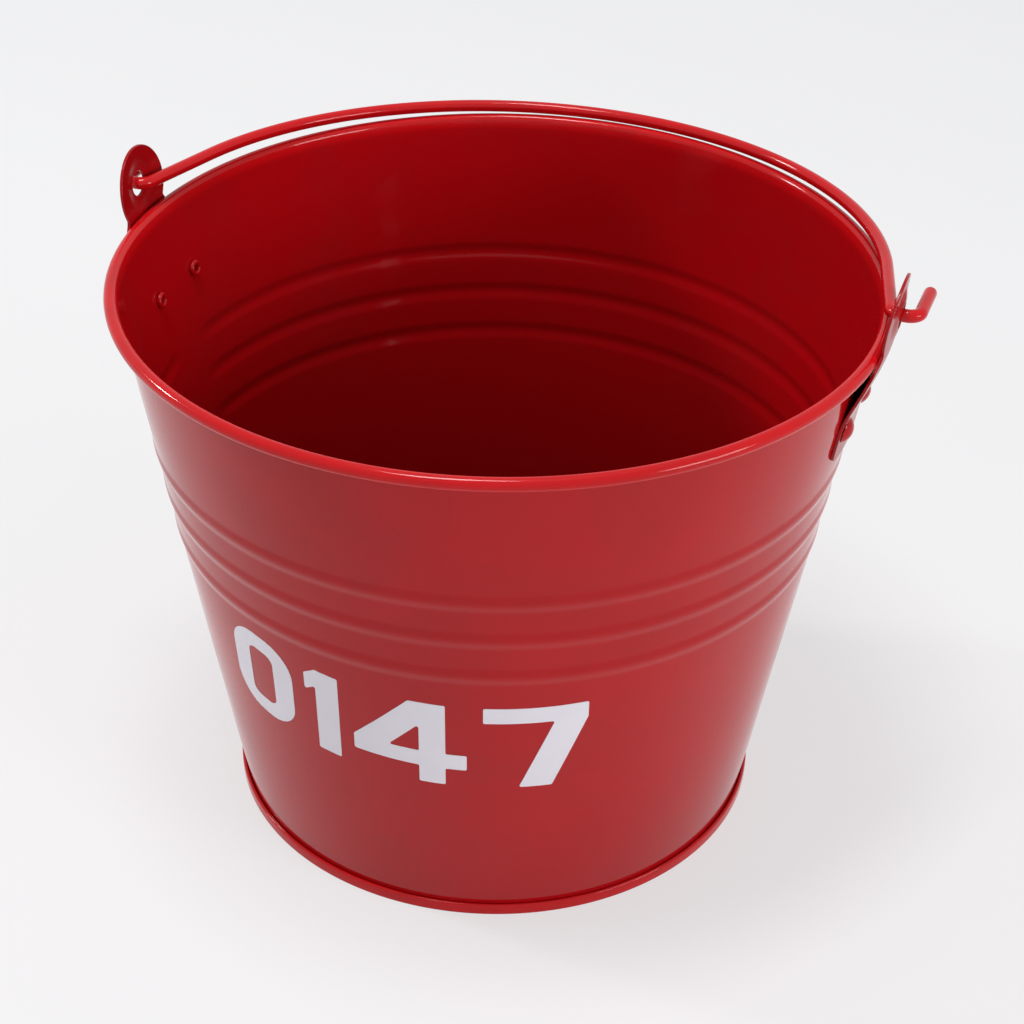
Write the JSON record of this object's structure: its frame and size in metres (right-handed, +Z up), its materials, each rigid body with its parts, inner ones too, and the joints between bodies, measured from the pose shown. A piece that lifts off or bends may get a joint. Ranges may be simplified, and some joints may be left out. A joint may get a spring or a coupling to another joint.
{
  "type": "fire bucket",
  "caption": "Tapered red steel fire bucket with a wired rim, pressed ribs, a seamed base, riveted ears and a swinging round-wire bail handle.",
  "frame": {"origin": "on the bucket's axis, in the plane of the base ring that it stands on", "axes": "+Z up along the axis; +X from the left ear to the right ear, which is the bail's hinge line; -Y is the marked front, and the bail is folded back towards +Y"},
  "size_m": [0.3248, 0.3018, 0.2556],
  "materials": {
    "red_powder_coat": "gloss red powder coat on steel",
    "white_vinyl": "satin white cut vinyl"
  },
  "bodies": {
    "bucket": {"bucket_shell": "red_powder_coat", "rim_wire": "red_powder_coat", "base_pan": "red_powder_coat", "left_ear": "red_powder_coat", "right_ear": "red_powder_coat", "left_front_rivet": "red_powder_coat", "left_back_rivet": "red_powder_coat", "right_front_rivet": "red_powder_coat", "right_back_rivet": "red_powder_coat", "digit_0": "white_vinyl", "digit_1": "white_vinyl", "digit_4": "white_vinyl", "digit_7": "white_vinyl"},
    "bail": {"bail_handle": "red_powder_coat"}
  },
  "joints": [
    {"name": "bail_swing", "type": "hinge", "parent": "bucket", "child": "bail", "pos_m": [0, 0, 0.2404], "axis": [1, 0, 0], "range_deg": [0, 186.1]}
  ]
}
